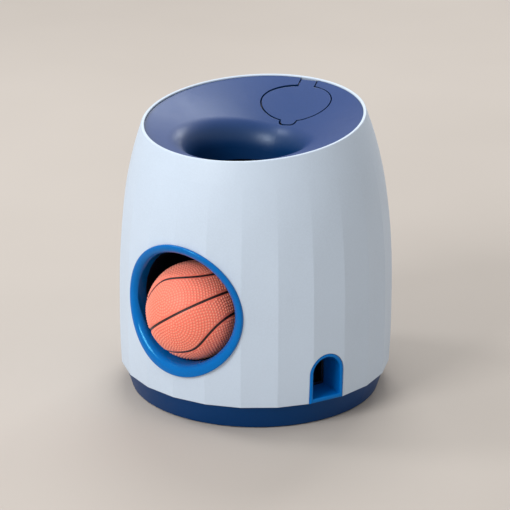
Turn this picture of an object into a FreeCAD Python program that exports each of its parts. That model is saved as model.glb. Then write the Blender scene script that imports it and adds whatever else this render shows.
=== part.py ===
import FreeCAD, Part
import math
import os
import re
import Sketcher
from FreeCAD import Placement, Rotation, Vector

# Dog puzzle toy: a ball dropped in the funnel falls down a bent duct, trips a paddle and rolls
# out of the round outlet, and the paddle turns a drum that lets treats down to the arched outlet.
# The origin is the centre of the footprint on the floor, +Z is up, the ball comes out towards -Y
# and the treats come out towards +X. Lengths are in millimetres and angles in degrees.

os.makedirs("parts", exist_ok=True)
doc = FreeCAD.newDocument("dog_puzzle_toy")

# Driving sizes
SIZES = {
    # outer shell
    "belly_radius": 85.0,
    "belly_height": 45.0,
    "foot_draw": 0.8,
    "shoulder_draw": 19.3,
    "shoulder_height": 180.0,
    "shoulder_power": 2.83,
    "facet_count": 24,
    "facet_turn": 2.1,
    "facets_flat_to": 95.0,
    "facets_gone_at": 150.0,
    "shell_wall": 2.0,
    "rim_height": 173.7,
    "rim_tilt": 6.82,
    "rim_rounding": 0.6,
    # base tray and its rubber ring
    "base_height": 16.0,
    "base_top_radius": 82.4,
    "base_floor_radius": 77.6,
    "base_lift": 0.8,
    "tray_underside": 3.0,
    "tray_floor": 2.2,
    "tray_skirt": 2.4,
    "lip_height": 5.0,
    "lip_wall": 1.8,
    "lip_gap": 0.35,
    "ring_inner_radius": 67.5,
    "ring_outer_radius": 73.5,
    "ring_keeper": 1.4,
    # funnel
    "throat_radius": 32.5,
    "throat_place": -13.5,
    "throat_foot_height": 138.0,
    "dish_edge_drop": 0.8,
    "dish_slope": 20.0,
    "dish_tilt": 10.7,
    "dish_place": 11.9,
    "roll_over": 18.0,
    "funnel_wall": 2.2,
    "funnel_gap": 0.2,
    "ledge_height": 148.0,
    "ledge_thickness": 2.5,
    "ledge_depth": 3.0,
    "column_radius": 4.0,
    "column_circle": 60.0,
    "screw_radius": 1.6,
    "screw_head": 3.0,
    "screw_head_depth": 1.8,
    "small_screw_radius": 1.2,
    "boss_radius": 3.2,
    # treat lid
    "lid_half_width": 23.0,
    "lid_half_depth": 15.4,
    "lid_place": 45.1,
    "lid_side": 0.1,
    "lid_turn": 9.0,
    "lid_gap": 0.9,
    "lid_back_gap": 0.5,
    "lid_thickness": 1.8,
    "tab_width": 10.2,
    "tab_reach": 3.4,
    "tab_side": 0.4,
    "tab_rounding": 3.2,
    "tongue_width": 10.5,
    "tongue_gap": 0.9,
    "tongue_side": 0.9,
    "tongue_tail": 3.3,
    "tail_gap": 0.2,
    "lid_bevel": 1.2,
    "lid_bevel_rise": 1.2,
    "lid_pin_radius": 0.8,
    "lid_knuckle_radius": 1.5,
    "lid_pin_from_wall": 3.4,
    "lid_lug": 2.4,
    # ball and its duct
    "ball_radius": 30.0,
    "ball_wall": 3.5,
    "ball_place": -65.0,
    "ball_gap": 0.3,
    "seam_radius": 0.6,
    "seam_spread": 53.0,
    "ball_yaw": -88.0,
    "ball_pitch": -8.9,
    "ball_roll": 124.9,
    "duct_radius": 35.5,
    "duct_wall": 1.8,
    "duct_height": 72.3,
    "duct_bend": 34.0,
    "duct_top": 146.0,
    "duct_end": 66.5,
    "slot_width": 22.0,
    "slot_bottom": 60.0,
    "slot_top": 116.0,
    "foot_place": 12.0,
    "foot_size": 8.0,
    "foot_back": 48.0,
    # round ball outlet
    "bezel_radius": 41.0,
    "bezel_proud": 1.6,
    "socket_wall": 1.8,
    "socket_depth": 8.0,
    "socket_gap": 0.2,
    "sill_rise": 1.7,
    "mouth_rounding": 4.2,
    "bezel_rounding": 0.9,
    "sill_place": 75.0,
    # arched treat outlet
    "outlet_turn": 25.5,
    "outlet_width": 23.4,
    "outlet_height": 30.3,
    "outlet_rim": 2.3,
    "outlet_sill": 2.8,
    "outlet_inner_end": 62.0,
    "outlet_face": 84.4,
    "outlet_gap": 0.15,
    "outlet_reveal": 1.1,
    # trigger, drum and axle
    "axle_place": 44.0,
    "axle_height": 96.0,
    "axle_radius": 2.0,
    "axle_play": 0.05,
    "paddle_reach": 38.3,
    "paddle_width": 18.0,
    "paddle_thickness": 3.0,
    "paddle_rest": 20.0,
    "hub_radius": 6.0,
    "drum_radius": 15.0,
    "drum_start": 12.0,
    "drum_width": 26.0,
    "pocket_angle": 60.0,
    "pocket_place": 100.0,
    "pocket_floor": 5.0,
    "pocket_cheek": 2.0,
    "spring_wire": 0.35,
    "spring_radius": 3.4,
    "spring_pitch": 1.2,
    "spring_turns": 3,
    "spring_place": -13.6,
    "spring_leg": 8.0,
    "clip_gap": 0.2,
    "clip_thickness": 0.8,
    "clip_radius": 4.2,
    # bearing frame
    "cheek_thickness": 3.0,
    "left_cheek": 17.5,
    "right_cheek": 41.0,
    "cheek_front": 37.5,
    "cheek_back": 58.0,
    "cheek_head": 9.0,
    "frame_plate": 3.0,
    "frame_web": 2.5,
    "bush_radius": 4.0,
    "bush_flange_radius": 5.5,
    "bush_flange": 1.0,
    # hopper
    "hopper_wall": 1.6,
    "hopper_place": 44.0,
    "hopper_half_width": 18.0,
    "hopper_half_depth": 10.5,
    "hopper_shoulder": 150.0,
    "flange_place": 42.2,
    "flange_half_width": 26.6,
    "flange_half_depth": 15.4,
    "flange_thickness": 1.9,
    "ear_place": 30.4,
    "ear_along": 40.0,
    "ear_height": 159.0,
    "ear_thickness": 2.5,
    "spout_top": 118.0,
    "spout_bottom": 104.0,
    "spout_front": 33.6,
    "spout_back": 49.8,
    "drum_gap": 0.5,
    # treat chute
    "chute_wall": 1.4,
    "chute_top": 80.0,
    "chute_left": 13.0,
    "chute_right": 39.8,
    "chute_front": 18.6,
    "chute_back": 39.4,
    "chute_end": 66.0,
    "chute_end_bottom": 19.0,
    "chute_end_top": 36.0,
    "chute_gap": 0.3,
    "chute_nose": 5.0,
    "leg_across": 42.0,
    "leg_along": 2.0,
    "leg_size": 8.0,
}

sheet = doc.addObject("Spreadsheet::Sheet", "Sizes")
for row, (alias, number) in enumerate(SIZES.items(), start=1):
    sheet.set(f"A{row}", alias)
    sheet.set(f"B{row}", str(number))
    sheet.setAlias(f"B{row}", alias)
doc.recompute()


def linked(expression):
    """The expression with each size's name made a link to the sheet."""
    def link(found):
        word = found.group(0)
        return f"Sizes.{word}" if word in SIZES else word
    return re.sub(r"[a-z][a-z_0-9]*", link, str(expression))


def size(expression):
    """The number that an expression of sizes comes to."""
    result = sheet.evalExpression(linked(expression))
    return float(getattr(result, "Value", result))


def bind(item, **properties):
    """Bind properties to expressions; a double underscore stands for a dot."""
    for name, expression in properties.items():
        item.setExpression(name.replace("__", "."), linked(expression))


# Part design helpers
def new_body(label):
    body = doc.addObject("PartDesign::Body", label)
    body.Label = label
    return body


def new_sketch(body, role):
    plane = next(item for item in body.Origin.OriginFeatures if item.Role == role)
    sketch = body.newObject("Sketcher::SketchObject", f"{body.Name}_sketch")
    sketch.AttachmentSupport = [(plane, "")]
    sketch.MapMode = "FlatFace"
    return sketch


def pin_point(sketch, geometry, end, across, up):
    """Hold one point of a sketch at two expressions, measured from the sketch's origin."""
    for kind, expression, axis in (("DistanceX", across, -2), ("DistanceY", up, -1)):
        if abs(size(expression)) < 1e-9:
            sketch.addConstraint(Sketcher.Constraint("PointOnObject", geometry, end, axis))
            continue
        held = Sketcher.Constraint(kind, -1, 1, geometry, end, size(expression))
        index = sketch.addConstraint(held)
        sketch.setExpression(f"Constraints[{index}]", linked(expression))


def draw_polygon(sketch, corners):
    """A closed outline of straight lines whose corners are pairs of expressions."""
    points = [Vector(size(across), size(up), 0) for across, up in corners]
    first = sketch.GeometryCount
    for start, end in zip(points, points[1:] + points[:1]):
        sketch.addGeometry(Part.LineSegment(start, end), False)
    for step in range(len(points)):
        here = first + step
        following = first + (step + 1) % len(points)
        sketch.addConstraint(Sketcher.Constraint("Coincident", here, 2, following, 1))
        pin_point(sketch, here, 1, *corners[step])


def draw_circle(sketch, across, up, radius):
    centre = Vector(size(across), size(up), 0)
    index = sketch.addGeometry(Part.Circle(centre, Vector(0, 0, 1), size(radius)), False)
    if abs(size(across)) < 1e-9 and abs(size(up)) < 1e-9:
        sketch.addConstraint(Sketcher.Constraint("Coincident", index, 3, -1, 1))
    else:
        pin_point(sketch, index, 3, across, up)
    held = sketch.addConstraint(Sketcher.Constraint("Radius", index, size(radius)))
    sketch.setExpression(f"Constraints[{held}]", linked(radius))
    return index


def pad(body, sketch, length, back=None, reverse=False):
    """Pad a sketch, forwards by length, or also backwards by back."""
    feature = body.newObject("PartDesign::Pad", f"{body.Name}_pad")
    feature.Profile = sketch
    feature.Reversed = reverse
    bind(feature, Length=length)
    if back is not None:
        feature.SideType = "Two sides"
        bind(feature, Length2=back)
    return feature


def pocket(body, sketch, length, back=None, reverse=False):
    feature = body.newObject("PartDesign::Pocket", f"{body.Name}_pocket")
    feature.Profile = sketch
    feature.Reversed = reverse
    bind(feature, Length=length)
    if back is not None:
        feature.SideType = "Two sides"
        bind(feature, Length2=back)
    return feature


def round_edges(body, radius, chosen):
    """Fillet the edges of a body's last feature that a test chooses."""
    doc.recompute()
    base = body.Tip
    names = [f"Edge{index}" for index, edge in enumerate(base.Shape.Edges, start=1)
             if chosen(edge)]
    feature = body.newObject("PartDesign::Fillet", f"{body.Name}_round")
    feature.Base = (base, names)
    feature.Radius = radius
    return feature


def turn_profile(body, corners):
    """A body of revolution about Z from a polygon of radius and height expressions."""
    sketch = new_sketch(body, "XZ_Plane")
    draw_polygon(sketch, corners)
    feature = body.newObject("PartDesign::Revolution", f"{body.Name}_turned")
    feature.Profile = sketch
    feature.ReferenceAxis = (sketch, ["V_Axis"])
    feature.Angle = 360.0
    return feature


# Part primitive helpers
AXIS_TURNS = {
    "z": Rotation(),
    "x": Rotation(Vector(0, 1, 0), 90),
    "y": Rotation(Vector(1, 0, 0), -90),
}


def place(item, across, along, up):
    bind(item, Placement__Base__x=across, Placement__Base__y=along, Placement__Base__z=up)


def box(name, length, width, height, across, along, up):
    item = doc.addObject("Part::Box", name)
    bind(item, Length=length, Width=width, Height=height)
    place(item, across, along, up)
    return item


def rod(name, axis, radius, length, across, along, up):
    """A cylinder that runs from its place along +X, +Y or +Z."""
    item = doc.addObject("Part::Cylinder", name)
    item.Placement = Placement(Vector(), AXIS_TURNS[axis])
    bind(item, Radius=radius, Height=length)
    place(item, across, along, up)
    return item


def fuse(name, *items):
    item = doc.addObject("Part::MultiFuse", name)
    item.Shapes = list(items)
    item.Refine = True
    return item


def cut(name, base, tool):
    item = doc.addObject("Part::Cut", name)
    item.Base = base
    item.Tool = tool
    return item


def feature(label, shape):
    """A sub-part whose shape is worked out in this file from the sheet's sizes."""
    item = doc.addObject("Part::Feature", label)
    item.Label = label
    item.Shape = shape
    item.Placement = Placement()
    return item


# Outline of the shell
def shell_radius(height):
    """Radius of the shell's facet corners: a slight draw to the foot, a curved shoulder on top."""
    belly = size("belly_height")
    if height < belly:
        down = (belly - height) / (belly - size("base_height"))
        return size("belly_radius") - size("foot_draw") * down ** 2
    up = (height - belly) / (size("shoulder_height") - belly)
    return size("belly_radius") - size("shoulder_draw") * up ** size("shoulder_power")


def roundness(height):
    """0 where the facets are flat, 1 where they have faded into a round wall."""
    low, high = size("facets_flat_to"), size("facets_gone_at")
    share = min(1.0, max(0.0, (height - low) / (high - low)))
    return share * share * (3 - 2 * share)


def facet_middle_radius(height):
    flat = math.cos(math.pi / size("facet_count"))
    return shell_radius(height) * (flat + (1 - flat) * roundness(height))


def faceted_section(height):
    """Closed outline at one height: straight facets low down, arcs once the facets fade."""
    count = int(size("facet_count"))
    turn = 2 * math.pi / count
    radius, middle = shell_radius(height), facet_middle_radius(height)
    flat_middle = radius * math.cos(turn / 2)

    def spot(angle, distance):
        return Vector(distance * math.cos(angle), distance * math.sin(angle), height)

    edges = []
    for step in range(count):
        start = -math.pi / 2 - math.radians(size("facet_turn")) + step * turn
        first, last = spot(start, radius), spot(start + turn, radius)
        if middle - flat_middle < 1e-6:
            edges.append(Part.makeLine(first, last))
        else:
            edges.append(Part.Arc(first, spot(start + turn / 2, middle), last).toShape())
    return Part.Wire(edges)


TOP_OF_WORK = "shoulder_height + 8"
SECTION_STEPS = 9


def wall_heights():
    low, high = size("base_height"), size(TOP_OF_WORK)
    return [low + (high - low) * step / SECTION_STEPS for step in range(SECTION_STEPS + 1)]


def turned_solid(radii, heights):
    """Solid of revolution under a smooth curve through radii at heights."""
    curve = Part.BSplineCurve()
    curve.interpolate([Vector(radius, 0, height) for radius, height in zip(radii, heights)])
    low, high = heights[0], heights[-1]
    face = Part.Face(Part.Wire([
        Part.makeLine(Vector(0, 0, low), Vector(radii[0], 0, low)),
        curve.toShape(),
        Part.makeLine(Vector(radii[-1], 0, high), Vector(0, 0, high)),
        Part.makeLine(Vector(0, 0, high), Vector(0, 0, low)),
    ]))
    return face.revolve(Vector(), Vector(0, 0, 1), 360)


def shell_cavity(clearance=0.0):
    """The round space inside the shell, drawn in by a clearance."""
    heights = wall_heights()
    radii = [facet_middle_radius(z) - size("shell_wall") - clearance for z in heights]
    return turned_solid(radii, heights)


def shell_envelope(grown):
    """The round outline over the facet corners, grown outwards."""
    heights = wall_heights()
    return turned_solid([shell_radius(z) + grown for z in heights], heights)


def above_rim(drop=0.0):
    """Everything above the sloping rim plane, lowered by drop."""
    reach = 2 * size("belly_radius")
    space = Part.makeBox(2 * reach, 2 * reach, reach, Vector(-reach, -reach, 0))
    space.rotate(Vector(), Vector(1, 0, 0), size("rim_tilt"))
    space.translate(Vector(0, 0, size("rim_height") - drop))
    return space


def slab(low, high, radius=None):
    """A flat disc from one height to another."""
    return Part.makeCylinder(radius or 2 * size("belly_radius"), high - low, Vector(0, 0, low))


def moved(shape, placement):
    """A copy of a shape with its geometry carried by a placement."""
    return shape.transformed(placement.toMatrix(), True)


def turned_to_outlet(shape):
    """Turn a shape from the +X direction to the treat outlet's direction."""
    turn = Rotation(Vector(0, 0, 1), -size("outlet_turn"))
    return moved(shape, Placement(Vector(), turn))


def arch(width, top, bottom, start, end):
    """A round-topped block about the XZ plane, from start to end along +X."""
    half = width / 2
    low, left = Vector(start, half, bottom), Vector(start, -half, bottom)
    spring = top - half
    outline = Part.Wire([
        Part.makeLine(left, low),
        Part.makeLine(low, Vector(start, half, spring)),
        Part.Arc(Vector(start, half, spring), Vector(start, 0, top),
                 Vector(start, -half, spring)).toShape(),
        Part.makeLine(Vector(start, -half, spring), left),
    ])
    return Part.Face(outline).extrude(Vector(end - start, 0, 0))


def along_y(radius, front, back, height=None):
    """A cylinder along Y about the duct's outlet axis."""
    centre = size("duct_height") if height is None else height
    return Part.makeCylinder(radius, back - front, Vector(0, front, centre), Vector(0, 1, 0))


def make_outer_shell():
    """Faceted wall with two outlets, a ledge and a pocket behind the tail of the lid."""
    fade_end = size("facets_gone_at + 2")
    low, high = size("base_height"), size(TOP_OF_WORK)
    faceted = Part.makeLoft([faceted_section(low + (fade_end - low) * step / SECTION_STEPS)
                             for step in range(SECTION_STEPS + 1)], True, False)
    heights = [fade_end + (high - fade_end) * step / 3 for step in range(4)]
    outside = faceted.fuse(turned_solid([shell_radius(z) for z in heights], heights))
    cavity = shell_cavity()
    ledge_low = size("ledge_height")
    ledge = cavity.common(slab(ledge_low, ledge_low + size("ledge_thickness"))).cut(
        shell_cavity(size("ledge_depth")))
    shell = outside.removeSplitter().cut(cavity).cut(above_rim())
    shell = shell.makeFillet(size("rim_rounding"), [e for e in shell.Edges if lies_on_rim(e)])
    reach = 2 * size("belly_radius")
    bore = size("duct_radius + duct_wall + socket_gap + socket_wall + 0.3")
    gap = size("outlet_gap")
    treat_hole = turned_to_outlet(arch(
        size("outlet_width") + 2 * gap, size("base_height + outlet_height") + gap,
        size("base_height") - 1, size("outlet_inner_end"), reach))
    tail_pocket = across_lid(size("tongue_tail + tail_gap"), size("tongue_width / 2 + tongue_gap"),
                             hinge_place())
    return shell.fuse(ledge).cut(along_y(bore, -reach, 0)).cut(treat_hole).cut(tail_pocket)


def lies_on_rim(edge):
    slope = math.tan(math.radians(size("rim_tilt")))
    spots = [edge.valueAt(edge.FirstParameter + (edge.LastParameter - edge.FirstParameter) * k / 4)
             for k in range(5)]
    return all(abs(p.z - size("rim_height") - slope * p.y) < 0.01 for p in spots)


# Funnel and lid share the sloping dish
def dish_foot():
    """Tip of the dish's cone, placed so that the dish ends just below the shell's rim."""
    slope = math.tan(math.radians(size("rim_tilt")))
    along = size("belly_radius")
    for _ in range(20):
        rim = size("rim_height") + slope * along
        along = facet_middle_radius(rim) - size("shell_wall")
    steep = math.tan(math.radians(size("dish_slope + dish_tilt")))
    low = rim - size("dish_edge_drop") - steep * (along - size("dish_place"))
    return Vector(0, size("dish_place"), low)


def dish_axis():
    tilt = math.radians(size("dish_tilt"))
    return Vector(0, -math.sin(tilt), math.cos(tilt))


def dish_space(depth=0.0):
    """The open space of the dish and its throat, let into the wall by a depth."""
    slope = math.radians(size("dish_slope"))
    tip = dish_foot() - dish_axis() * (depth / math.cos(slope))
    tall = size("belly_radius")
    bowl = Part.makeCone(0, tall / math.tan(slope), tall, tip, dish_axis())
    radius = size("throat_radius") + depth
    throat_low = size("throat_foot_height") - 4
    throat = Part.makeCylinder(radius, size("ledge_height") + 15 - throat_low,
                               Vector(0, size("throat_place"), throat_low))
    space = bowl.fuse(throat).removeSplitter()
    lip_edges = [edge for edge in space.Edges if on_throat_lip(edge, radius)]
    return space.makeFillet(size("roll_over") - depth, lip_edges)


def on_throat_lip(edge, radius):
    """Whether an edge runs round the throat between its foot and the dish."""
    spots = [edge.valueAt(edge.FirstParameter + (edge.LastParameter - edge.FirstParameter) * k / 4)
             for k in range(5)]
    low = size("throat_foot_height") + 1
    round_throat = all(abs(math.hypot(p.x, p.y - size("throat_place")) - radius) < 0.02
                       and p.z > low for p in spots)
    return round_throat and edge.Length > 2 * radius


def dish_height(across, along):
    """Height of the dish's cone above a point of the plan."""
    foot = dish_foot()
    rise = math.sin(math.radians(size("dish_slope")))
    tilt = math.radians(size("dish_tilt"))
    cosine, sine = math.cos(tilt), math.sin(tilt)
    back = along - foot.y
    square = cosine ** 2 - rise ** 2
    half_sum = back * cosine * sine
    rest = (back * sine) ** 2 - rise ** 2 * (across ** 2 + back ** 2)
    return foot.z + (half_sum + math.sqrt(half_sum ** 2 - square * rest)) / square


def lid_frame():
    """Placement of the lid: local Z is its normal and local +Y points to its hinge."""
    across, along = size("lid_side"), size("lid_place")
    turn = Rotation(Vector(0, 0, 1), size("lid_turn"))
    slope = Rotation(Vector(1, 0, 0), size("dish_slope + dish_tilt"))
    return Placement(Vector(across, along, dish_height(across, along)), turn.multiply(slope))


def lid_prism():
    """The lid's outline, an oval with a finger tab and a hinge tongue, as a prism."""
    half_tongue = size("tongue_width / 2")
    return lid_outline(0.0, 0.0, half_tongue, hinge_place().y, -20.0, 20.0)


def lid_opening(low):
    """The hole for the lid: a gap all round, wider at the back, and a slot to the wall."""
    half_slot = size("tongue_width / 2 + tongue_gap")
    wall = 2 * size("lid_half_width")
    return lid_outline(size("lid_gap"), size("lid_back_gap"), half_slot, wall, low, 20.0)


def lid_outline(gap, back_gap, half_tongue, tongue_reach, low, high):
    depth = high - low
    width = size("lid_half_width") + gap
    half_depth = size("lid_half_depth") + (gap + back_gap) / 2
    oval = Part.Ellipse(Vector(0, (back_gap - gap) / 2, low), width, half_depth)
    oval = Part.Face(Part.Wire([oval.toShape()])).extrude(Vector(0, 0, depth))
    half_tab = size("tab_width") / 2 + gap
    reach = size("lid_half_depth + tab_reach") + gap
    tab = Part.makeBox(2 * half_tab, reach, depth,
                       Vector(size("tab_side") - half_tab, -reach, low))
    tab = rounded_upright(tab, -reach)
    tongue = Part.makeBox(2 * half_tongue, tongue_reach, depth,
                          Vector(size("tongue_side") - half_tongue, 0, low))
    return moved(oval.fuse([tab, tongue]).removeSplitter(), lid_frame())


def lid_back_cutter():
    """What comes off under the lid's back edge, so that the edge clears the dish as it lifts."""
    bevel = size("lid_bevel")
    slant = Vector(0, bevel, size("lid_thickness")) * 4
    width, half_depth = size("lid_half_width"), size("lid_half_depth")
    foot = Vector(0, 0, size("lid_bevel_rise")) - slant / 2
    oval = Part.Ellipse(foot, width, half_depth)
    kept = Part.Face(Part.Wire([oval.toShape()])).extrude(slant)
    front = Part.Face(Part.makePolygon([
        foot + Vector(-width, 0, 0), foot + Vector(width, 0, 0),
        foot + Vector(width, -3 * width, 0), foot + Vector(-width, -3 * width, 0),
        foot + Vector(-width, 0, 0)])).extrude(slant)
    block = Part.makeBox(2 * width, 2 * half_depth, slant.z, Vector(-width, 0, foot.z))
    half_slot = size("tongue_width / 2")
    tongue = Part.makeBox(2 * half_slot, 3 * half_depth, 2 * slant.z,
                          Vector(size("tongue_side") - half_slot, 0, -slant.z))
    return moved(block.cut(kept.fuse([front, tongue])), lid_frame())


def rounded_upright(block, along):
    """Round the two upright edges of a block that lie at one local Y."""
    uprights = [edge for edge in block.Edges
                if edge.BoundBox.XLength < 1e-6 and edge.BoundBox.YLength < 1e-6
                and abs(edge.BoundBox.YMin - along) < 1e-6]
    return block.makeFillet(size("tab_rounding"), uprights)


def hinge_place():
    """The hinge pin's centre in the lid's own frame."""
    frame = lid_frame()
    direction = frame.Rotation.multVec(Vector(0, 1, 0))
    start = frame.multVec(Vector(size("tongue_side"), 0, 0))
    wall_radius = facet_middle_radius(size("rim_height") + 7) - size("shell_wall")
    want = wall_radius - size("lid_pin_from_wall")
    low, high = 0.0, 2 * size("lid_half_width")
    for _ in range(40):
        middle = (low + high) / 2
        spot = start + direction * middle
        if math.hypot(spot.x, spot.y) < want:
            low = middle
        else:
            high = middle
    spot = start + direction * low
    top = dish_height(spot.x, spot.y)
    below = (top - spot.z) * math.cos(math.radians(size("dish_slope + dish_tilt")))
    below -= size("lid_knuckle_radius") + 0.4
    return Vector(size("tongue_side"), low, below)


def across_lid(radius, half, centre):
    """A cylinder along the lid's local X."""
    shape = Part.makeCylinder(radius, 2 * half, centre - Vector(half, 0, 0), Vector(1, 0, 0))
    return moved(shape, lid_frame())


def make_treat_lid():
    """Plate cut from the dish, with a finger tab, a hinge tongue and a bored knuckle."""
    sheet_of_lid = dish_space(size("lid_thickness")).cut(dish_space())
    plate = sheet_of_lid.common(lid_prism()).cut(lid_back_cutter())
    half, pin = size("tongue_width") / 2, hinge_place()
    knuckle = across_lid(size("lid_knuckle_radius"), half, pin)
    tail = sheet_of_lid.common(across_lid(size("tongue_tail"), half, pin))
    bore = across_lid(size("lid_pin_radius + axle_play"), half + 1, pin)
    return plate.fuse([knuckle, tail]).removeSplitter().cut(bore)


def make_lid_pin():
    return across_lid(size("lid_pin_radius"), size("tongue_width / 2 + tongue_gap + lid_lug"),
                      hinge_place())


def column_spots():
    """Plan positions of the funnel's four screw columns."""
    circle = size("column_circle")
    return [Vector(circle * math.cos(math.radians(a)), circle * math.sin(math.radians(a)), 0)
            for a in (20, 160, 220, 320)]


def ear_spots():
    """Plan positions of the two screws that hold the hopper."""
    return [Vector(side * size("ear_place"), size("ear_along"), 0) for side in (-1, 1)]


def make_funnel():
    """Sloping dish with a throat, a skirt that sits on the ledge, four columns and lid lugs."""
    open_dish = dish_space()
    inside = shell_cavity(size("funnel_gap")).common(slab(
        size("ledge_height + ledge_thickness"), size(TOP_OF_WORK)))
    throat_zone = Part.makeCylinder(
        size("throat_radius + funnel_wall") + 1, size("ledge_height - throat_foot_height") + 4,
        Vector(0, size("throat_place"), size("throat_foot_height")))
    dish = dish_space(size("funnel_wall")).cut(open_dish).common(inside.fuse(throat_zone))
    skirt = inside.cut(shell_cavity(size("funnel_gap + funnel_wall")))
    floor_top = size("tray_underside + tray_floor")
    dish_top = size("shoulder_height")
    posts = [Part.makeCylinder(size("column_radius"), dish_top - floor_top,
                               spot + Vector(0, 0, floor_top)) for spot in column_spots()]
    boss_foot = size("ear_height + ear_thickness")
    posts += [Part.makeCylinder(size("boss_radius"), dish_top - boss_foot, spot + Vector(0, 0, boss_foot))
              for spot in ear_spots()]
    pin = hinge_place()
    slot_half = size("tongue_width / 2 + tongue_gap")
    lug_width = size("lid_lug")
    for side in (-1, 1):
        start = pin.x + (slot_half if side > 0 else -slot_half - lug_width)
        lug = Part.makeBox(lug_width, 8, 8, Vector(start, pin.y - 3, pin.z - 2.4))
        posts.append(moved(lug, lid_frame()).common(inside))
    funnel = dish.fuse([skirt] + posts).cut(open_dish)
    funnel = funnel.cut(lid_opening(-7.0))
    funnel = funnel.cut(across_lid(size("lid_pin_radius"), slot_half + lug_width, pin))
    funnel = funnel.cut(across_lid(size("lid_knuckle_radius") + 0.6, slot_half, pin))
    for spot in column_spots():
        funnel = funnel.cut(Part.makeCylinder(size("screw_radius"), 22, spot))
    for spot in ear_spots():
        funnel = funnel.cut(Part.makeCylinder(
            size("small_screw_radius"), 7, spot + Vector(0, 0, boss_foot - 1)))
    return funnel


feature("outer_shell", make_outer_shell())
feature("treat_lid", make_treat_lid())
feature("lid_hinge_pin", make_lid_pin())
feature("funnel", make_funnel())


# Treat hopper under the lid
def oval_block(half_width, half_depth, along, low, high):
    """An upright block with an oval plan."""
    wide = half_width >= half_depth
    major, minor = (half_width, half_depth) if wide else (half_depth, half_width)
    oval = Part.Ellipse(Vector(0, along, low), major, minor)
    return Part.Face(Part.Wire([oval.toShape()])).extrude(Vector(0, 0, high - low))


def rectangle_wire(left, right, front, back, height):
    corners = [Vector(left, front, height), Vector(right, front, height),
               Vector(right, back, height), Vector(left, back, height)]
    return Part.makePolygon(corners + corners[:1])


def pocket_sides():
    """Left and right sides of the spout and of the drum's pocket."""
    start = size("drum_start + pocket_cheek")
    return start, start + size("drum_width - 2 * pocket_cheek")


def hopper_space(grown):
    """The hopper's inside, or its outside when grown by the wall."""
    left, right = pocket_sides()
    shoulder = size("hopper_shoulder")
    front, back = size("spout_front") - grown, size("spout_back") + grown
    centre = (front + back) / 2
    top = oval_block(size("hopper_half_width") + grown, size("hopper_half_depth") + grown,
                     size("hopper_place"), shoulder, size("shoulder_height") + 5)
    oval = Part.Ellipse(Vector(0, size("hopper_place"), shoulder),
                        size("hopper_half_width") + grown, size("hopper_half_depth") + grown)
    spout_top = rectangle_wire(left - grown, right + grown, front, back, size("spout_top"))
    slope = Part.makeLoft([Part.Wire([oval.toShape()]), spout_top], True, True)
    spout = Part.makeBox(right - left + 2 * grown, back - front,
                         size("spout_top - spout_bottom"),
                         Vector(left - grown, centre - (back - front) / 2, size("spout_bottom")))
    return top.fuse([slope, spout])


def make_hopper():
    """Oval mouth with a flange under the dish, a slanted body and a spout over the drum."""
    wall = size("hopper_wall")
    flange_bottom = size("funnel_wall + flange_thickness")
    flange_sheet = dish_space(flange_bottom).cut(dish_space(size("funnel_wall")))
    flange_plan = oval_block(size("flange_half_width"), size("flange_half_depth"),
                             size("flange_place"), size("duct_top") + 4, size(TOP_OF_WORK))
    body = hopper_space(wall).cut(dish_space(flange_bottom - 0.2))
    ear_low = size("ear_height")
    ears = [Part.makeCylinder(3.6, size("ear_thickness"), spot + Vector(0, 0, ear_low))
            for spot in ear_spots()]
    bar_width = 2 * size("ear_place")
    ears.append(Part.makeBox(bar_width, 7.2, size("ear_thickness"),
                             Vector(-bar_width / 2, size("ear_along") - 3.6, ear_low)))
    hopper = body.fuse([flange_sheet.common(flange_plan)] + ears).cut(hopper_space(0))
    drum_room = Part.makeCylinder(
        size("drum_radius + drum_gap"), 4 * size("drum_width"),
        Vector(-size("drum_width"), size("axle_place"), size("axle_height")), Vector(1, 0, 0))
    hopper = hopper.cut(drum_room)
    for spot in ear_spots():
        hopper = hopper.cut(Part.makeCylinder(size("small_screw_radius"), 10,
                                              spot + Vector(0, 0, ear_low - 2)))
    return hopper


feature("treat_hopper", make_hopper())


# Base tray, a cup with a floor, a lip inside the shell and keepers for the rubber ring
tray = new_body("base_tray")
SHELL_FOOT = facet_middle_radius(size("base_height")) - size("shell_wall")
sheet.set("D1", f"{SHELL_FOOT:.4f}")
sheet.setAlias("D1", "shell_foot_radius")
SIZES["shell_foot_radius"] = SHELL_FOOT
doc.recompute()
LIP_OUTER = "shell_foot_radius - lip_gap"
KEEP_IN = "ring_inner_radius - 0.1"
KEEP_OUT = "ring_outer_radius + 0.1"
turn_profile(tray, [
    ("0", "tray_underside"),
    (f"{KEEP_IN} - ring_keeper", "tray_underside"),
    (f"{KEEP_IN} - ring_keeper", "tray_underside - 1.8"),
    (KEEP_IN, "tray_underside - 1.8"),
    (KEEP_IN, "tray_underside"),
    (KEEP_OUT, "tray_underside"),
    (KEEP_OUT, "base_lift"),
    ("base_floor_radius", "base_lift"),
    ("base_top_radius", "base_height"),
    (LIP_OUTER, "base_height"),
    (LIP_OUTER, "base_height + lip_height"),
    (f"{LIP_OUTER} - lip_wall", "base_height + lip_height"),
    (f"{LIP_OUTER} - lip_wall", "base_height - 2"),
    ("base_floor_radius - tray_skirt", "tray_underside + tray_floor"),
    ("0", "tray_underside + tray_floor"),
])

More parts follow.
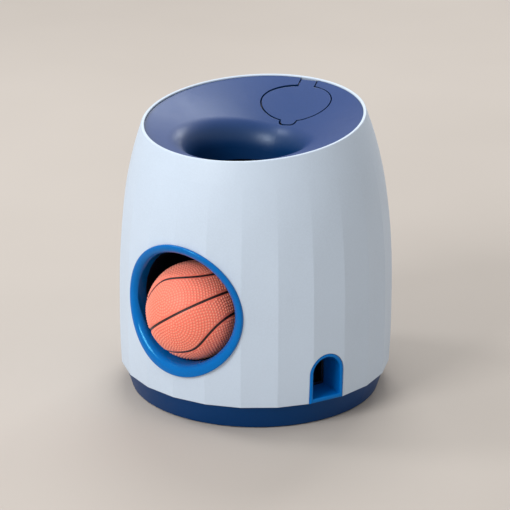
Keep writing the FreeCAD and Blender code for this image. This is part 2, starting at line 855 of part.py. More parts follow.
COLUMN_HOLES = [(f"column_circle * cos({angle})", f"column_circle * sin({angle})")
                for angle in (20, 160, 220, 320)]
FRAME_HOLES = [
    ("-left_cheek + cheek_thickness + 5", "cheek_front + 5"),
    ("-left_cheek + cheek_thickness + 5", "cheek_back - 8"),
    ("right_cheek - 6", "cheek_front + 5"),
    ("right_cheek - 6", "cheek_back - 8"),
]
FOOT_HOLES = [("-foot_place", "-foot_back - foot_size / 2"),
              ("foot_place", "-foot_back - foot_size / 2")]
LEG_HOLES = [("leg_across", "leg_along")]
screw_sketch = new_sketch(tray, "XY_Plane")
for hole in COLUMN_HOLES + FRAME_HOLES + FOOT_HOLES + LEG_HOLES:
    draw_circle(screw_sketch, hole[0], hole[1], "screw_radius")
pocket(tray, screw_sketch, "tray_underside + tray_floor + 1", reverse=True)

lip_notch = new_sketch(tray, "XY_Plane")
HALF_NOTCH = "(outlet_width / 2 + outlet_gap)"
NOTCH_START = "(shell_foot_radius - lip_gap - lip_wall - 3)"
NOTCH_END = "(shell_foot_radius - lip_gap + 0.01)"
draw_polygon(lip_notch, [
    (f"{reach} * cos(outlet_turn) - {side} * {HALF_NOTCH} * sin(-outlet_turn)",
     f"{reach} * sin(-outlet_turn) + {side} * {HALF_NOTCH} * cos(outlet_turn)")
    for reach, side in ((NOTCH_START, -1), (NOTCH_END, -1), (NOTCH_END, 1), (NOTCH_START, 1))
])
bind(lip_notch, AttachmentOffset__Base__z="base_height")
pocket(tray, lip_notch, "lip_height + 1", reverse=True)


# Rubber ring that the toy stands on
ring_body = new_body("anti_slip_ring")
ring_sketch = new_sketch(ring_body, "XY_Plane")
draw_circle(ring_sketch, "0", "0", "ring_outer_radius")
draw_circle(ring_sketch, "0", "0", "ring_inner_radius")
pad(ring_body, ring_sketch, "tray_underside")
round_edges(ring_body, 0.8, lambda edge: edge.BoundBox.ZMax < 0.001)


# Bent duct that carries the ball from the throat to the round outlet
duct = new_body("ball_duct")
path = new_sketch(duct, "YZ_Plane")
top_y = size("throat_place")
bend = size("duct_bend")
bend_y, bend_z = top_y - bend, size("duct_height") + bend
path.addGeometry(Part.LineSegment(Vector(top_y, size("duct_top"), 0),
                                  Vector(top_y, bend_z, 0)), False)
arc = Part.ArcOfCircle(Part.Circle(Vector(bend_y, bend_z, 0), Vector(0, 0, 1), bend),
                       -math.pi / 2, 0)
path.addGeometry(arc, False)
path.addGeometry(Part.LineSegment(Vector(bend_y, size("duct_height"), 0),
                                  Vector(-size("duct_end"), size("duct_height"), 0)), False)
path.addConstraint(Sketcher.Constraint("Coincident", 0, 2, 1, 2))
path.addConstraint(Sketcher.Constraint("Coincident", 1, 1, 2, 1))
pin_point(path, 0, 1, "throat_place", "duct_top")
pin_point(path, 1, 3, "throat_place - duct_bend", "duct_height + duct_bend")
pin_point(path, 0, 2, "throat_place", "duct_height + duct_bend")
path.addConstraint(Sketcher.Constraint("Vertical", 1, 3, 1, 1))
pin_point(path, 2, 2, "-duct_end", "duct_height")

duct_section = new_sketch(duct, "XY_Plane")
bind(duct_section, AttachmentOffset__Base__z="duct_top")
draw_circle(duct_section, "0", "throat_place", "duct_radius + duct_wall")
draw_circle(duct_section, "0", "throat_place", "duct_radius")
pipe = duct.newObject("PartDesign::AdditivePipe", "ball_duct_pipe")
pipe.Profile = duct_section
pipe.Spine = (path, ["Edge1", "Edge2", "Edge3"])

# The feet's sloping tops end inside the wall of the duct's level run.
foot_sketch = new_sketch(duct, "XZ_Plane")
bind(foot_sketch, AttachmentOffset__Base__z="foot_back")
for side in (-1, 1):
    near_edge, far_edge = "(foot_place - foot_size / 2)", "(foot_place + foot_size / 2)"
    middle_of_wall = "(duct_radius + duct_wall / 2)"
    draw_polygon(foot_sketch, [
        (f"{side} * {near_edge}", "tray_underside + tray_floor"),
        (f"{side} * {far_edge}", "tray_underside + tray_floor"),
        (f"{side} * {far_edge}", f"duct_height - sqrt({middle_of_wall}^2 - {far_edge}^2)"),
        (f"{side} * {near_edge}", f"duct_height - sqrt({middle_of_wall}^2 - {near_edge}^2)"),
    ])
pad(duct, foot_sketch, "foot_size")

slot = new_sketch(duct, "XZ_Plane")
draw_polygon(slot, [
    ("-slot_width / 2", "slot_bottom"),
    ("slot_width / 2", "slot_bottom"),
    ("slot_width / 2", "slot_top"),
    ("-slot_width / 2", "slot_top"),
])
pocket(duct, slot, "throat_place + duct_radius + duct_wall + 5")

foot_holes = new_sketch(duct, "XY_Plane")
for hole in FOOT_HOLES:
    draw_circle(foot_holes, hole[0], hole[1], "screw_radius")
pocket(duct, foot_holes, "tray_underside + tray_floor + 9", reverse=True)


# Ring round the ball's way out
def make_ball_outlet_ring():
    """Ring with a rounded mouth; its bore is eccentric, so that its lowest part is a sill."""
    duct_bore = size("duct_radius")
    sleeve = duct_bore + size("duct_wall + socket_gap + socket_wall")
    back = -size("duct_end") + size("socket_depth")
    front = -1.3 * size("belly_radius")
    face = shell_envelope(size("bezel_proud"))
    blank = along_y(size("bezel_radius"), front, back).common(face)
    behind = along_y(size("bezel_radius") + 1, front, back + 1).cut(
        along_y(sleeve, front - 1, back + 2)).common(shell_envelope(0.02))
    bore = size("duct_radius - sill_rise / 2")
    centre = size("duct_height + sill_rise / 2")
    ring = blank.cut(behind).cut(along_y(bore, front - 1, back + 1, centre))
    ring = ring.makeFillet(size("mouth_rounding"), edges_round(ring, bore, centre))
    ring = ring.makeFillet(size("bezel_rounding"),
                           edges_round(ring, size("bezel_radius"), size("duct_height")))
    ring = ring.cut(along_y(duct_bore, -size("sill_place"), back + 1))
    socket = along_y(duct_bore + size("duct_wall + socket_gap"), -size("duct_end"), back + 1)
    return ring.cut(socket)


def edges_round(shape, radius, centre):
    """Edges on the front of the ring that run round an axis along Y at a radius."""
    found = []
    for edge in shape.Edges:
        step = (edge.LastParameter - edge.FirstParameter) / 4
        spots = [edge.valueAt(edge.FirstParameter + step * k) for k in range(5)]
        if all(abs(math.hypot(p.x, p.z - centre) - radius) < 0.02 for p in spots):
            if on_front(spots):
                found.append(edge)
    return found


def on_front(spots):
    """Whether points lie on the ring's front face, which follows the shell."""
    proud = size("bezel_proud")
    return all(p.y < 0 and abs(math.hypot(p.x, p.y) - shell_radius(p.z) - proud) < 0.1
               for p in spots)


feature("ball_outlet_ring", make_ball_outlet_ring())


# Arched frame of the treat outlet
def make_treat_outlet():
    width, rim = size("outlet_width"), size("outlet_rim")
    bottom, top = size("base_height"), size("base_height + outlet_height")
    start, face = size("outlet_inner_end"), size("outlet_face")
    sill = bottom + size("outlet_sill")
    outside = arch(width, top, bottom, start, face)
    inside = arch(width - 2 * rim, top - rim, sill, start - 1, face + 1)
    frame = outside.cut(inside)
    front_edges = [edge for edge in frame.Edges if edge.BoundBox.XMin > face - 0.001]
    frame = frame.makeFillet(size("outlet_reveal"), front_edges)
    return turned_to_outlet(frame)


feature("treat_outlet_frame", make_treat_outlet())


# Treat chute from below the drum to the arched outlet
def chute_solid(inset, overrun):
    """Ruled solid from the mouth under the drum to the outlet, drawn in by an inset."""
    left, right = size("chute_left") + inset, size("chute_right") - inset
    front, back = size("chute_front") + inset, size("chute_back") - inset
    top = size("chute_top")
    half = size("outlet_width") / 2 - size("outlet_rim + chute_gap") - inset
    low, high = size("chute_end_bottom") + inset, size("chute_end_top") - inset
    turn = math.radians(-size("outlet_turn"))

    def mouth(height):
        return [Vector(left, back, height), Vector(right, back, height),
                Vector(right, front, height), Vector(left, front, height)]

    def end(reach):
        centre = Vector(reach * math.cos(turn), reach * math.sin(turn), 0)
        side = Vector(-math.sin(turn), math.cos(turn), 0) * half
        return [centre - side + Vector(0, 0, low), centre + side + Vector(0, 0, low),
                centre + side + Vector(0, 0, high), centre - side + Vector(0, 0, high)]

    nose = size("chute_end - chute_nose")
    extra = 1.0 if overrun else 0.0
    outlines = [mouth(top), end(nose), end(size("chute_end") + extra)]
    if overrun:
        outlines = [mouth(top + extra)] + outlines
    return faceted_solid(outlines)


def faceted_solid(outlines):
    """Solid through outlines of equal corner counts, each side split into two flat faces."""
    count = len(outlines[0])
    faces = [flat_face(outlines[0]), flat_face(outlines[-1])]
    for low, high in zip(outlines, outlines[1:]):
        for here in range(count):
            following = (here + 1) % count
            faces.append(flat_face([low[here], low[following], high[following]]))
            faces.append(flat_face([low[here], high[following], high[here]]))
    solid = Part.Solid(Part.Shell(faces))
    if solid.Volume < 0:
        solid.reverse()
    return solid


def flat_face(corners):
    return Part.Face(Part.makePolygon(corners + corners[:1]))


def make_chute():
    hollow = chute_solid(size("chute_wall"), True)
    half = size("leg_size") / 2
    floor_top = size("tray_underside + tray_floor")
    leg = Part.makeBox(2 * half, 2 * half, 60, Vector(
        size("leg_across") - half, size("leg_along") - half, floor_top))
    chute = chute_solid(0, False)
    reach = 2 * size("belly_radius")
    over = Part.makeBox(reach, reach, reach, Vector(0, -reach / 2, floor_top + 60))
    leg = leg.cut(chute_solid(0, False)).cut(over)
    lower = min(leg.Solids, key=lambda piece: piece.CenterOfMass.z)
    hole = Part.makeCylinder(size("screw_radius"), floor_top + 9,
                             Vector(size("leg_across"), size("leg_along"), 0))
    return chute.fuse(lower).cut(hollow).cut(hole)


feature("treat_chute", make_chute())


# Bearing frame: two cheeks, a floor plate and a back web
frame_body = new_body("mechanism_frame")
cheek_sketch = new_sketch(frame_body, "YZ_Plane")
FLOOR_TOP = "tray_underside + tray_floor"
draw_polygon(cheek_sketch, [
    ("cheek_front", FLOOR_TOP),
    ("cheek_back", FLOOR_TOP),
    ("cheek_back", "axle_height - 30"),
    ("axle_place + cheek_head", "axle_height"),
    ("axle_place + cheek_head", "axle_height + cheek_head - 2"),
    ("axle_place + 4", "axle_height + cheek_head + 1"),
    ("axle_place - 4", "axle_height + cheek_head + 1"),
    ("cheek_front", "axle_height + cheek_head - 2"),
])
pad(frame_body, cheek_sketch, "right_cheek + cheek_thickness", back="left_cheek")
room_sketch = new_sketch(frame_body, "YZ_Plane")
draw_polygon(room_sketch, [
    ("cheek_front - 1", f"{FLOOR_TOP} + frame_plate"),
    ("cheek_back - frame_web", f"{FLOOR_TOP} + frame_plate"),
    ("cheek_back - frame_web", "axle_height - 38"),
    ("cheek_back + 1", "axle_height - 38"),
    ("cheek_back + 1", "axle_height + cheek_head + 2"),
    ("cheek_front - 1", "axle_height + cheek_head + 2"),
])
pocket(frame_body, room_sketch, "left_cheek - cheek_thickness", back="right_cheek")
bearing_sketch = new_sketch(frame_body, "YZ_Plane")
draw_circle(bearing_sketch, "axle_place", "axle_height", "bush_radius")
pocket(frame_body, bearing_sketch, "left_cheek + 1", back="right_cheek + cheek_thickness + 1")
boss_sketch = new_sketch(frame_body, "XY_Plane")
bind(boss_sketch, AttachmentOffset__Base__z=f"{FLOOR_TOP} + frame_plate")
for hole in FRAME_HOLES:
    draw_circle(boss_sketch, hole[0], hole[1], "column_radius")
pad(frame_body, boss_sketch, "7")
frame_holes = new_sketch(frame_body, "XY_Plane")
for hole in FRAME_HOLES:
    draw_circle(frame_holes, hole[0], hole[1], "screw_radius")
pocket(frame_body, frame_holes, "tray_underside + tray_floor + 9", reverse=True)


# Axle with its two bushes and two clips
AXLE_START = "-left_cheek - bush_flange - clip_gap - clip_thickness - 1.2"
AXLE_END = "right_cheek + cheek_thickness + bush_flange + clip_gap + clip_thickness + 1.2"
axle = rod("axle_rod", "x", "axle_radius", f"{AXLE_END} - ({AXLE_START})",
           AXLE_START, "axle_place", "axle_height")
axle_part = doc.addObject("Part::Chamfer", "trigger_axle")
axle_part.Base = axle
doc.recompute()
axle_part.Edges = [(index, 0.4, 0.4) for index, edge in enumerate(axle.Shape.Edges, start=1)
                   if edge.Closed and len(edge.Vertexes) == 1]

for side in ("left", "right"):
    if side == "left":
        sleeve_start = "-left_cheek"
        flange_start = "-left_cheek - bush_flange"
    else:
        sleeve_start = "right_cheek"
        flange_start = "right_cheek + cheek_thickness"
    sleeve = rod(f"{side}_sleeve", "x", "bush_radius", "cheek_thickness",
                 sleeve_start, "axle_place", "axle_height")
    collar = rod(f"{side}_collar", "x", "bush_flange_radius", "bush_flange",
                 flange_start, "axle_place", "axle_height")
    hole = rod(f"{side}_bush_bore", "x", "axle_radius + axle_play", "cheek_thickness + 4",
               f"{sleeve_start} - 2", "axle_place", "axle_height")
    cut(f"{side}_bush", fuse(f"{side}_bush_solid", sleeve, collar), hole)

clips = []
for side, start in (("left", "-left_cheek - bush_flange - clip_gap - clip_thickness"),
                    ("right", "right_cheek + cheek_thickness + bush_flange + clip_gap")):
    disc = rod(f"{side}_clip_disc", "x", "clip_radius", "clip_thickness",
               start, "axle_place", "axle_height")
    eye = rod(f"{side}_clip_eye", "x", "axle_radius", "clip_thickness + 2",
              f"{start} - 1", "axle_place", "axle_height")
    mouth = box(f"{side}_clip_mouth", "clip_thickness + 2", "axle_radius * 1.6", "clip_radius + 1",
                f"{start} - 1", "axle_place - axle_radius * 0.8", "axle_height")
    clips.append(cut(f"{side}_clip", disc, fuse(f"{side}_clip_cuts", eye, mouth)))
clip_part = doc.addObject("Part::Compound", "axle_clips")
clip_part.Links = clips


# Dosing drum with one pocket
drum_disc = rod("drum_disc", "x", "drum_radius", "drum_width",
                "drum_start", "axle_place", "axle_height")
drum_bore = rod("drum_bore", "x", "axle_radius", "drum_width + 2",
                "drum_start - 1", "axle_place", "axle_height")
wedge = rod("drum_wedge", "x", "drum_radius + 1", "drum_width - 2 * pocket_cheek",
            "drum_start + pocket_cheek", "axle_place", "axle_height")
bind(wedge, Angle="pocket_angle")
wedge.Placement.Rotation = AXIS_TURNS["x"].multiply(
    Rotation(Vector(0, 0, 1), size("90 + pocket_place - pocket_angle / 2")))
core = rod("drum_core", "x", "pocket_floor", "drum_width",
           "drum_start", "axle_place", "axle_height")
cut("dosing_drum", drum_disc, fuse("drum_cuts", cut("drum_pocket", wedge, core), drum_bore))


# Trigger paddle, drawn level and then turned up to its place of rest
paddle = new_body("trigger_paddle")
hub_sketch = new_sketch(paddle, "YZ_Plane")
draw_circle(hub_sketch, "0", "0", "hub_radius")
pad(paddle, hub_sketch, "paddle_width / 2", back="paddle_width / 2")
blade_sketch = new_sketch(paddle, "YZ_Plane")
draw_polygon(blade_sketch, [
    ("-paddle_reach", "-paddle_thickness / 2"),
    ("-hub_radius / 2", "-hub_radius * 0.7"),
    ("-hub_radius / 2", "hub_radius * 0.7"),
    ("-paddle_reach", "paddle_thickness / 2"),
])
pad(paddle, blade_sketch, "paddle_width / 2", back="paddle_width / 2")
round_edges(paddle, 1.3, lambda edge: edge.BoundBox.YMax < -size("paddle_reach") + 0.001
            and edge.BoundBox.XLength > 1)
eye_sketch = new_sketch(paddle, "YZ_Plane")
draw_circle(eye_sketch, "0", "0", "axle_radius")
pocket(paddle, eye_sketch, "paddle_width", back="paddle_width")
paddle.Placement = Placement(Vector(), Rotation(Vector(1, 0, 0), -size("paddle_rest")))
bind(paddle, Placement__Base__y="axle_place", Placement__Base__z="axle_height")


# Return spring: three turns round the axle and two straight legs in one unbroken wire
def make_return_spring():
    radius, pitch = size("spring_radius"), size("spring_pitch")
    turns = int(size("spring_turns"))
    coil = Part.makeHelix(pitch, pitch * turns, radius)
    rise = pitch / (2 * math.pi * radius)
    tangent = Vector(0, 1, rise)
    tangent.normalize()
    start, finish = Vector(radius, 0, 0), Vector(radius, 0, pitch * turns)
    leg = size("spring_leg")
    path_edges = [Part.makeLine(start - tangent * leg, start)] + coil.Edges + [
        Part.makeLine(finish, finish + tangent * leg)]
    section = Part.Wire([Part.makeCircle(size("spring_wire"), start - tangent * leg, tangent)])
    wire = Part.Wire(path_edges).makePipeShell([section], True, True)
    place_on_axle = Placement(Vector(size("spring_place"), size("axle_place"),
                                     size("axle_height")), AXIS_TURNS["x"])
    turned = place_on_axle.multiply(Placement(Vector(), Rotation(Vector(0, 0, 1), 180)))
    return moved(wire, turned)


feature("return_spring", make_return_spring())
print(f"return spring: least gap between turns {size('spring_pitch - 2 * spring_wire'):.2f} mm")


# Screws, each group of one kind in one sub-part
def screws(label, holes, shaft_radius, head_radius, head_bottom, head_depth, length):
    pieces = []
    for number, (across, along) in enumerate(holes, start=1):
        head = rod(f"{label}_{number}_head", "z", head_radius, head_depth,
                   across, along, head_bottom)
        shaft = rod(f"{label}_{number}_shaft", "z", shaft_radius, f"{length} + 0.01",
                    across, along, f"{head_bottom} + {head_depth} - 0.01")
        slot_block = box(f"{label}_{number}_slot", f"{head_radius} * 3", "0.9", "0.8",
                         f"{across} - {head_radius} * 1.5", f"{along} - 0.45",
                         f"{head_bottom} - 0.1")
        pieces.append(cut(f"{label}_{number}",
                          fuse(f"{label}_{number}_blank", head, shaft), slot_block))
    group = doc.addObject("Part::Compound", label)
    group.Links = pieces


screws("base_screws", COLUMN_HOLES, "screw_radius", "screw_head",
       "tray_underside - screw_head_depth", "screw_head_depth", "16")
screws("frame_screws", FRAME_HOLES + FOOT_HOLES + LEG_HOLES, "screw_radius", "screw_head",
       "tray_underside - screw_head_depth", "screw_head_depth", "9")
screws("hopper_screws", [("-ear_place", "ear_along"), ("ear_place", "ear_along")],
       "small_screw_radius", "2.6", "ear_height - 1.6", "1.6", "7")


# Ball with a seam along two great circles and two circles round its side poles
ball_height = "duct_height - duct_radius + ball_radius + ball_gap"
skin = doc.addObject("Part::Sphere", "ball_skin")
bind(skin, Radius="ball_radius")
hollow = doc.addObject("Part::Sphere", "ball_hollow")
bind(hollow, Radius="ball_radius - ball_wall")
seams = []
for name, axis, spread in (("girth", Vector(0, 1, 0), 90), ("meridian", Vector(1, 0, 0), 90),
                           ("near", Vector(0, 1, 0), -1), ("far", Vector(0, 1, 0), 1)):
    groove = doc.addObject("Part::Torus", f"seam_{name}")
    groove.Placement = Placement(Vector(), Rotation(Vector(0, 0, 1), axis))
    if spread == 90:
        bind(groove, Radius1="ball_radius")
    else:
        bind(groove, Radius1="ball_radius * sin(seam_spread)",
             Placement__Base__y=f"{spread} * ball_radius * cos(seam_spread)")
    bind(groove, Radius2="seam_radius")
    seams.append(groove)
ball = cut("ball", skin, fuse("ball_cuts", hollow, *seams))
ball.Placement = Placement(
    Vector(), Rotation(size("ball_yaw"), size("ball_pitch"), size("ball_roll")))
bind(ball, Placement__Base__y="ball_place", Placement__Base__z=ball_height)


# Checks and export
NODES = (
    "outer_shell", "base_tray", "anti_slip_ring", "funnel", "treat_lid", "lid_hinge_pin",
    "treat_hopper", "ball_duct", "ball_outlet_ring", "treat_outlet_frame", "treat_chute",
    "dosing_drum", "trigger_paddle", "trigger_axle", "left_bush", "right_bush", "axle_clips",
    "return_spring", "mechanism_frame", "base_screws", "frame_screws", "hopper_screws", "ball",
)
doc.recompute()
for item in doc.Objects:
    if "Invalid" in item.State or "Error" in item.State:
        raise RuntimeError(f"{item.Label} failed: {item.State}")
for label in NODES:
    item = doc.getObject(label)
    shape = item.Shape
    if shape.isNull() or not shape.isValid() or not shape.Solids:
        raise RuntimeError(f"{label} is not a valid solid")
    print(f"{label}: {len(shape.Solids)} solid(s), {shape.Volume:.0f} mm3")
    shape.exportStep(f"parts/{label}.step")
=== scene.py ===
import math

import bpy
from mathutils import Matrix, Vector


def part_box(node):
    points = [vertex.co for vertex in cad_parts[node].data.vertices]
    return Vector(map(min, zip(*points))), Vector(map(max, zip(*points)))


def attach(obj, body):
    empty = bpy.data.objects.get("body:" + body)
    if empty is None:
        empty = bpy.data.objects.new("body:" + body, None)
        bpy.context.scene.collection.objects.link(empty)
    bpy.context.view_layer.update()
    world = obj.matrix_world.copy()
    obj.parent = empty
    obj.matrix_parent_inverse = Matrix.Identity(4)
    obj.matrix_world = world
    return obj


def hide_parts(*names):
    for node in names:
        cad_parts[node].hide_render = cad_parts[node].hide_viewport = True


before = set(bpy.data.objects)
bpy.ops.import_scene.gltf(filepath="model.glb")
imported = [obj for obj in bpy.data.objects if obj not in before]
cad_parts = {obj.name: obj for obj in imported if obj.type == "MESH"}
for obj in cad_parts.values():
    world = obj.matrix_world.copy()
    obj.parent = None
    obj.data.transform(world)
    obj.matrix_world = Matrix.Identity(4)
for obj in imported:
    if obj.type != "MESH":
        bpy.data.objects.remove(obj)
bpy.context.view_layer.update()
MM = 0.001

# Camera at the photograph's viewing angle, in metres and degrees
EYE = Vector((0.7677, -1.1556, 0.5978))
AIM = Vector((0.0, 0.0, 0.08243))
CAMERA_ROLL = math.radians(0.32)
LENS_MM = 168.35
SENSOR_MM = 36.0
SHIFT_X = -0.0011
FAR_CLIP = 50.0


def look_matrix(eye, aim, roll=0.0):
    """Place and turn of a camera or lamp that looks from eye to aim."""
    ahead = (aim - eye).normalized()
    right = ahead.cross(Vector((0, 0, 1))).normalized()
    up = right.cross(ahead)
    side = right * math.cos(roll) + up * math.sin(roll)
    top = up * math.cos(roll) - right * math.sin(roll)
    rotation = Matrix((side, top, -ahead)).transposed().to_4x4()
    return Matrix.Translation(eye) @ rotation


def add_camera():
    data = bpy.data.cameras.new("camera")
    data.lens = LENS_MM
    data.sensor_width = SENSOR_MM
    data.clip_end = FAR_CLIP
    data.shift_x = SHIFT_X
    camera = bpy.data.objects.new("camera", data)
    camera.matrix_world = look_matrix(EYE, AIM, CAMERA_ROLL)
    bpy.context.scene.collection.objects.link(camera)
    bpy.context.scene.camera = camera


# Material tools
MIX_FIRST_COLOUR = 6
MIX_SECOND_COLOUR = 7
MIX_COLOUR_OUT = 2


def new_material(name):
    material = bpy.data.materials.new(name)
    material.use_nodes = True
    tree = material.node_tree
    tree.nodes.clear()
    shader = tree.nodes.new("ShaderNodeBsdfPrincipled")
    output = tree.nodes.new("ShaderNodeOutputMaterial")
    tree.links.new(shader.outputs["BSDF"], output.inputs["Surface"])
    return material, tree, shader


def set_or_link(tree, socket, value):
    """Give a socket a plain value, or link it where the value is another node's socket."""
    if isinstance(value, bpy.types.NodeSocket):
        tree.links.new(value, socket)
    else:
        socket.default_value = value


def add_node(tree, kind, settings=(), **inputs):
    node = tree.nodes.new(kind)
    for key, value in settings:
        setattr(node, key, value)
    for key, value in inputs.items():
        set_or_link(tree, node.inputs[key.replace("_", " ")], value)
    return node


def object_place(tree):
    return add_node(tree, "ShaderNodeTexCoord").outputs["Object"]


def noise(tree, place, scale, detail=3.0, roughness=0.55):
    node = add_node(
        tree, "ShaderNodeTexNoise", Vector=place, Scale=scale, Detail=detail, Roughness=roughness
    )
    return node.outputs["Fac"]


def spread(tree, value, low, high, from_low=0.3, from_high=0.7):
    """Map a value from the range from_low to from_high to the range low to high."""
    node = add_node(
        tree,
        "ShaderNodeMapRange",
        Value=value,
        From_Min=from_low,
        From_Max=from_high,
        To_Min=low,
        To_Max=high,
    )
    return node.outputs["Result"]


def blend_colours(tree, factor, first, second):
    node = tree.nodes.new("ShaderNodeMix")
    node.data_type = "RGBA"
    tree.links.new(factor, node.inputs["Factor"])
    set_or_link(tree, node.inputs[MIX_FIRST_COLOUR], first)
    set_or_link(tree, node.inputs[MIX_SECOND_COLOUR], second)
    return node.outputs[MIX_COLOUR_OUT]


def linear(red, green, blue):
    """A colour written as on a screen, from 0 to 255, turned into the linear colour of a shader."""

    def channel(value):
        value /= 255.0
        return value / 12.92 if value <= 0.04045 else ((value + 0.055) / 1.055) ** 2.4

    return (channel(red), channel(green), channel(blue), 1.0)


def shade(colour, factor):
    return tuple(min(1.0, part * factor) for part in colour[:3]) + (1.0,)


# Plastic: texture scales are waves per metre
CLOUD_SCALE = 22.0
SPECK_SCALE = 900.0
SPECK_SHARE = 0.5
SMEAR_SCALE = 45.0
GRAIN_SCALE = 1500.0
GRAIN_STRENGTH = 0.6
# Painted shade: ambient occlusion within this reach darkens a plastic's colour, fully below the
# first share and not at all above the second
PAINTED_SHADE_REACH = 140 * MM
FULL_PAINTED_SHADE_BELOW = 0.7
NO_PAINTED_SHADE_ABOVE = 0.97
PLAIN_GLOSS_TINT = (1.0, 1.0, 1.0, 1.0)


def moulded_plastic(
    name,
    colour,
    gloss,
    grain_height=0.02 * MM,
    variation=0.05,
    edge=0.35 * MM,
    specular=0.5,
    painted_shade=None,
    tint_of_gloss=PLAIN_GLOSS_TINT,
):
    """Moulded plastic with a faint cloudy colour, fine specks and grain, and uneven gloss.

    Its edges are softly rounded, gloss is its lowest and highest roughness, and where the
    surface is shut in by others, as in the throat, ambient occlusion blends its colour
    towards a darker colour passed in: painted shade, not the plastic's own colour.
    """
    material, tree, shader = new_material(name)
    place = object_place(tree)
    cloud = spread(tree, noise(tree, place, CLOUD_SCALE), 0.0, 1.0)
    tint = blend_colours(tree, cloud, shade(colour, 1 - variation), shade(colour, 1 + variation))
    speck = spread(tree, noise(tree, place, SPECK_SCALE, 2.0), 0.0, 1.0, 0.42, 0.58)
    speck_share = spread(tree, speck, 0.0, SPECK_SHARE, 0.0, 1.0)
    colour_out = blend_colours(tree, speck_share, tint, shade(colour, 1 + 2 * variation))
    # Painted shade: where ambient occlusion finds the surface shut in, as in the throat, the colour
    # is blended towards the darker colour
    if painted_shade:
        shade_occlusion = add_node(
            tree, "ShaderNodeAmbientOcclusion", (("samples", 8),), Distance=PAINTED_SHADE_REACH
        )
        share = spread(tree, shade_occlusion.outputs["AO"], 0.0, 1.0, FULL_PAINTED_SHADE_BELOW, NO_PAINTED_SHADE_ABOVE)
        colour_out = blend_colours(tree, share, painted_shade, colour_out)
    tree.links.new(colour_out, shader.inputs["Base Color"])
    smear = spread(tree, noise(tree, place, SMEAR_SCALE, 4.0, 0.65), *gloss)
    tree.links.new(smear, shader.inputs["Roughness"])
    rounded = add_node(tree, "ShaderNodeBevel", (("samples", 4),), Radius=edge).outputs["Normal"]
    bump = add_node(
        tree,
        "ShaderNodeBump",
        Height=noise(tree, place, GRAIN_SCALE, 2.0, 0.5),
        Strength=GRAIN_STRENGTH,
        Distance=grain_height,
        Normal=rounded,
    )
    tree.links.new(bump.outputs["Normal"], shader.inputs["Normal"])
    shader.inputs["Specular IOR Level"].default_value = specular
    shader.inputs["Specular Tint"].default_value = tint_of_gloss
    return material


# Plated steel
LINE_STRETCH = (0.06, 1.0, 1.0)
LINE_SCALE = 5200.0
LINE_HEIGHT = 0.01 * MM
LINE_STRENGTH = 0.35
TARNISH_SCALE = 160.0


def brushed_metal(name, colour):
    """Zinc-plated steel: fine drawn lines along X and patchy tarnish."""
    material, tree, shader = new_material(name)
    place = object_place(tree)
    mapping = add_node(tree, "ShaderNodeMapping", Vector=place, Scale=LINE_STRETCH)
    lines = noise(tree, mapping.outputs["Vector"], LINE_SCALE)
    tarnish = spread(tree, noise(tree, place, TARNISH_SCALE), 0.0, 1.0)
    tint = blend_colours(tree, tarnish, shade(colour, 0.86), shade(colour, 1.06))
    tree.links.new(tint, shader.inputs["Base Color"])
    tree.links.new(spread(tree, lines, 0.24, 0.42), shader.inputs["Roughness"])
    bump = add_node(
        tree, "ShaderNodeBump", Height=lines, Strength=LINE_STRENGTH, Distance=LINE_HEIGHT
    )
    tree.links.new(bump.outputs["Normal"], shader.inputs["Normal"])
    shader.inputs["Metallic"].default_value = 1.0
    return material


# Rubber
RUBBER_CLOUD_SCALE = 55.0
RUBBER_SMEAR_SCALE = 120.0
RUBBER_BUMP_STRENGTH = 0.5
SHEEN_ROUGHNESS = 0.4


def rubber(name, colour, gloss, grain=900.0, height=0.02 * MM, sheen=0.2):
    """Rubber with a cloudy colour, a fine grain and a little sheen."""
    material, tree, shader = new_material(name)
    place = object_place(tree)
    cloud = spread(tree, noise(tree, place, RUBBER_CLOUD_SCALE, 4.0, 0.6), 0.0, 1.0)
    tint = blend_colours(tree, cloud, shade(colour, 0.94), shade(colour, 1.05))
    tree.links.new(tint, shader.inputs["Base Color"])
    smear = spread(tree, noise(tree, place, RUBBER_SMEAR_SCALE), *gloss)
    tree.links.new(smear, shader.inputs["Roughness"])
    bump = add_node(
        tree,
        "ShaderNodeBump",
        Height=noise(tree, place, grain),
        Strength=RUBBER_BUMP_STRENGTH,
        Distance=height,
    )
    tree.links.new(bump.outputs["Normal"], shader.inputs["Normal"])
    shader.inputs["Sheen Weight"].default_value = sheen
    shader.inputs["Sheen Roughness"].default_value = SHEEN_ROUGHNESS
    return material


def paint(node_name, material):
    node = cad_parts[node_name]
    node.data.materials.clear()
    node.data.materials.append(material)


# Colours
SHELL = linear(198, 213, 230)
NAVY = linear(24, 58, 120)
# Painted shade for the navy plastic in the throat and other hollows
THROAT_PAINTED_SHADE = linear(0, 48, 96)
# Painted shade for the inner navy plastic in its hollows
INNER_PAINTED_SHADE = linear(2, 14, 34)
BASE_NAVY = linear(0, 50, 104)
INNER_NAVY = linear(16, 40, 84)
OUTLET_BLUE = linear(0, 102, 184)
GREY = linear(178, 184, 190)
NATURAL = linear(236, 233, 224)
STEEL = linear(200, 202, 206)
BLACK = linear(34, 34, 37)
CORAL = linear(255, 152, 126)
# Darker coral of the skin between pebbles: painted shade in the hollows; the pebbles' coral is the
# ball's own colour
CORAL_PAINTED_SHADE = linear(252, 124, 102)
SEAM = linear(40, 14, 12)
FLOOR_DARK = linear(184, 177, 170)
FLOOR_LIGHT = linear(192, 185, 178)
WORLD_WHITE = (1.0, 0.985, 0.97, 1.0)

# Materials of the CAD pieces
shell_plastic = moulded_plastic("shell_satin", SHELL, (0.42, 0.5), variation=0.02, edge=0.5 * MM)
